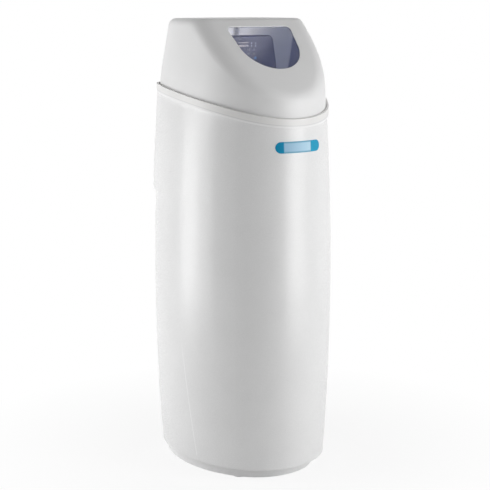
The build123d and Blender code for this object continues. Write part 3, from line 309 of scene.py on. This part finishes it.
def window_plastic(name):
    """Clear tinted plastic with a faint blue haze, that lamps shine through."""
    tint, haze, haze_share = (0.80, 0.80, 0.82), (0.22, 0.30, 0.85), 0.05
    nodes = Nodes(name)
    nodes.set(Transmission_Weight=1.0, IOR=1.25, Roughness=0.02)
    nodes.colour(nodes.mix(nodes.patches(80 * MM), shade(tint, 0.97), shade(tint, 1.03)))
    milk = nodes.coloured("ShaderNodeBsdfDiffuse", haze)
    nodes.pass_lamps(nodes.blend(haze_share, nodes.shader.outputs["BSDF"], milk), tint)
    return nodes.material


def metal(name, colour, rough):
    """Bare metal with fine tool marks along one direction."""
    nodes = Nodes(name)
    nodes.set(Metallic=1.0)
    marks = nodes.noise(0.5 * MM, 2, (1, 1, 12))
    nodes.colour(nodes.mix(nodes.patches(10 * MM), shade(colour, 0.9), shade(colour, 1.05)))
    nodes.roughness(marks, rough - 0.08, rough + 0.1)
    nodes.bump(marks, 0.01 * MM)
    return nodes.material


def label_film(name):
    """Blue film in three blocks, the middle one pale, with a darker border along the pale one."""
    cap = (0.002, 0.255, 0.46)
    tail = (0.025, 0.33, 0.53)
    pale_near_cap = (0.34, 0.56, 0.74)
    pale_near_tail = (0.50, 0.72, 0.86)
    border = (0.12, 0.36, 0.52)
    # Where one block turns into the next, and the pale one into its lighter end, as shares of the length,
    # and where the border lies on either side of the middle, as shares of the height
    cap_end, tail_start, lighter = (0.15, 0.165), (0.74, 0.755), (0.2, 0.7)
    border_inner, border_outer = 0.32, 0.46
    nodes = Nodes(name)
    low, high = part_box("front_label")
    length = high.x - low.x
    height = high.z - low.z
    x, _, z = nodes.axes()

    def along(places):
        start, end = places
        return nodes.range(x, 0, 1, low.x + start * length, low.x + end * length)

    off_centre = nodes.math("ABSOLUTE", nodes.math("SUBTRACT", z, (low.z + high.z) / 2))
    in_border = nodes.range(off_centre, 0, 1, height * border_inner, height * border_outer)
    pale = nodes.mix(in_border, nodes.mix(along(lighter), pale_near_cap, pale_near_tail), border)
    nodes.colour(nodes.mix(along(tail_start), nodes.mix(along(cap_end), cap, pale), tail))
    nodes.set(Roughness=0.5, Specular_IOR_Level=0.15)
    nodes.bump(nodes.noise(4 * MM), 0.03 * MM)
    return nodes.material


def display_glass(name):
    """Dark screen with a row of pale figures along its lower part and a pale line above them."""
    screen, figure = (0.07, 0.07, 0.085), (0.62, 0.56, 0.50)
    # Heights where each starts, is full, fades and ends, as shares of the screen's height
    row_heights, line_heights = (0.12, 0.16, 0.42, 0.46), (0.80, 0.83, 0.90, 0.93)
    nodes = Nodes(name)
    low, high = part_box("display_lens")
    rise = nodes.range(nodes.axes()[2], 0, 1, low.z, high.z)
    row = nodes.within(rise, *row_heights)
    line = nodes.within(rise, *line_heights)
    figures = nodes.product(nodes.range(nodes.noise(2 * MM, 0), 0, 1, 0.3, 0.4), row)
    nodes.colour(nodes.mix(nodes.math("MAXIMUM", figures, line), screen, figure))
    nodes.set(Roughness=0.25, Specular_IOR_Level=0.3)
    return nodes.material


def key_plastic(name):
    """Grey keys, and blue on the round key below them."""
    grey, blue = (0.15, 0.145, 0.15), (0.08, 0.22, 0.42)
    nodes = Nodes(name)
    lowest_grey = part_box("key_3")[0].z
    above = nodes.range(nodes.axes()[2], 0, 1, lowest_grey - 2 * MM, lowest_grey - MM)
    nodes.colour(nodes.mix(above, blue, grey))
    nodes.roughness(nodes.noise(0.6 * MM), 0.38, 0.48)
    return nodes.material


# Material slots of the record. A plain plastic has its colour and roughness, and where they aren't the
# usual ones, the size and depth of its grain

plain_plastics = {
    "foot_plastic": ((0.78, 0.78, 0.78), 0.5),
    "vessel_shell": ((0.05, 0.11, 0.25), 0.3, 3 * MM, 0.2 * MM),
    "boot_plastic": (black_plastic, 0.5),
    "pipe_plastic": ((0.72, 0.72, 0.70), 0.35),
    "basket_plastic": ((0.03, 0.03, 0.03), 0.5),
    "resin": ((0.35, 0.15, 0.03), 0.6, 1 * MM, 0.3 * MM),
    "valve_plastic": (black_plastic, 0.42, 0.8 * MM, 0.06 * MM),
    "seal_rubber": ((0.02, 0.02, 0.02), 0.7),
    "piston_plastic": ((0.60, 0.57, 0.48), 0.35),
    "gear_plastic": ((0.80, 0.78, 0.70), 0.35),
    "bracket_plastic": ((0.05, 0.055, 0.06), 0.5),
    "board": ((0.01, 0.10, 0.04), 0.35),
    "cover_plastic": ((0.035, 0.036, 0.055), 0.4),
    "display_plastic": ((0.30, 0.32, 0.33), 0.4),
    "light_plastic": ((0.55, 0.58, 0.66), 0.25),
    "inlet_plastic": (black_plastic, 0.45),
    "lever_plastic": ((0.04, 0.08, 0.24), 0.4),
    "well_plastic": ((0.76, 0.76, 0.74), 0.42),
    "float_plastic": ((0.74, 0.74, 0.72), 0.45),
    "overflow_plastic": ((0.72, 0.72, 0.72), 0.42),
}
metals = {
    "motor_steel": ((0.60, 0.60, 0.61), 0.32),
    "fitting_brass": ((0.75, 0.52, 0.22), 0.28),
}
own_finishes = {
    "tank_plastic": tank_plastic,
    "collar_plastic": collar_plastic,
    "hood_plastic": hood_plastic,
    "window_plastic": window_plastic,
    "label_film": label_film,
    "display_glass": display_glass,
    "key_plastic": key_plastic,
}
materials = {slot: make(slot) for slot, make in own_finishes.items()}
materials |= {slot: plastic(slot, *values) for slot, values in plain_plastics.items()}
materials |= {slot: metal(slot, *values) for slot, values in metals.items()}

for entry in frame["record"]["subparts"]:
    node = frame["nodes"][entry["node"]]
    node.data.materials.clear()
    node.data.materials.append(materials[entry["material_slot"]])


# Floor, lamps and world

floor_half = 12.0
floor_near, floor_far = 0.3, 0.85
white_share_near, white_share_far = 0.88, 1.0


def floor_material():
    """Pale floor that keeps a soft shadow near the object and shows white to the camera."""
    nodes = Nodes("floor")
    nodes.set(Roughness=0.9)
    nodes.colour(nodes.mix(nodes.patches(0.5), (0.86, 0.86, 0.86), (0.88, 0.88, 0.88)))
    radius = nodes.add("ShaderNodeVectorMath", operation="LENGTH")
    nodes.join(nodes.place, radius.inputs[0])
    share = nodes.range(radius.outputs["Value"], white_share_near, white_share_far, floor_near, floor_far)
    glow = nodes.add("ShaderNodeEmission")
    glow.inputs["Strength"].default_value = 1.0
    share = nodes.product(seen_directly(nodes.tree), share)
    lit = nodes.blend(share, nodes.shader.outputs["BSDF"], glow.outputs["Emission"])
    nodes.join(lit, nodes.output.inputs["Surface"])
    return nodes.material


floor_mesh = bpy.data.meshes.new("floor")
shape = bmesh.new()
bmesh.ops.create_grid(shape, x_segments=1, y_segments=1, size=floor_half)
shape.to_mesh(floor_mesh)
shape.free()
floor = bpy.data.objects.new("floor", floor_mesh)
floor.data.materials.append(floor_material())
bpy.context.scene.collection.objects.link(floor)


def softbox(name, bearing, distance, height, size, watts, aim_height):
    """Area lamp at a bearing from the camera's side, aimed at the object's axis."""
    turn = math.radians(camera_azimuth + bearing)
    data = bpy.data.lights.new(name, "AREA")
    data.shape = "RECTANGLE"
    data.size, data.size_y = size
    data.energy = watts
    lamp = bpy.data.objects.new(name, data)
    lamp.location = (distance * math.sin(turn), -distance * math.cos(turn), height)
    aim = Vector((0, 0, aim_height)) - lamp.location
    lamp.rotation_euler = aim.to_track_quat("-Z", "Y").to_euler()
    bpy.context.scene.collection.objects.link(lamp)
    return lamp


# Lamps at both sides, low and high, as bearing and watts; one above; and two weak ones behind
side_lamps = ((-85, 8.2, 2.9), (-70, 4.3, 9.3), (50, 6.6, 0), (65, 4.4, 14.4))
side_distance = 1.8
low_height, low_size = 0.45, (0.6, 0.9)
high_height, high_size, high_aim = 1.4, (0.6, 1.0), 0.9
back_lamps = (("back_low", 0.5, 7.0, 0.4), ("back_high", 1.4, 5.0, 0.8))
back_distance, back_size = 2.4, (0.6, 0.8)

for bearing, low_watts, high_watts in side_lamps:
    softbox(f"low_{bearing}", bearing, side_distance, low_height, low_size, low_watts, low_height)
    if high_watts:
        softbox(f"high_{bearing}", bearing, side_distance, high_height, high_size, high_watts, high_aim)
softbox("top", bearing=0, distance=0.3, height=2.8, size=(1.6, 1.6), watts=5.9, aim_height=0.9)
for name, height, watts, aim_height in back_lamps:
    lamp = softbox(name, 180, back_distance, height, back_size, watts, aim_height)
    # A mirror image of a lamp behind would burn out the outline
    lamp.visible_glossy = False

# White to the camera, and almost no light on the object
world = bpy.data.worlds.new("studio")
bpy.context.scene.world = world
world.use_nodes = True
sky = world.node_tree
background = sky.nodes["Background"]
background.inputs["Color"].default_value = (1, 1, 1, 1)
level = sky.nodes.new("ShaderNodeMapRange")
level.inputs["To Min"].default_value = 0.01
level.inputs["To Max"].default_value = 1.0
sky.links.new(seen_directly(sky), level.inputs["Value"])
sky.links.new(level.outputs["Result"], background.inputs["Strength"])

scene = bpy.context.scene
scene.view_settings.view_transform = "Standard"

camera_data = bpy.data.cameras.new("camera")
camera_data.sensor_width = sensor_width
camera_data.lens = focal_px / image_width * sensor_width
camera_data.shift_x = (image_width / 2 - centre_px) / image_width
camera = bpy.data.objects.new("camera", camera_data)
camera.location = camera_place
camera.rotation_euler = (math.radians(90 + camera_pitch), 0, math.radians(camera_azimuth))
scene.collection.objects.link(camera)
scene.camera = camera
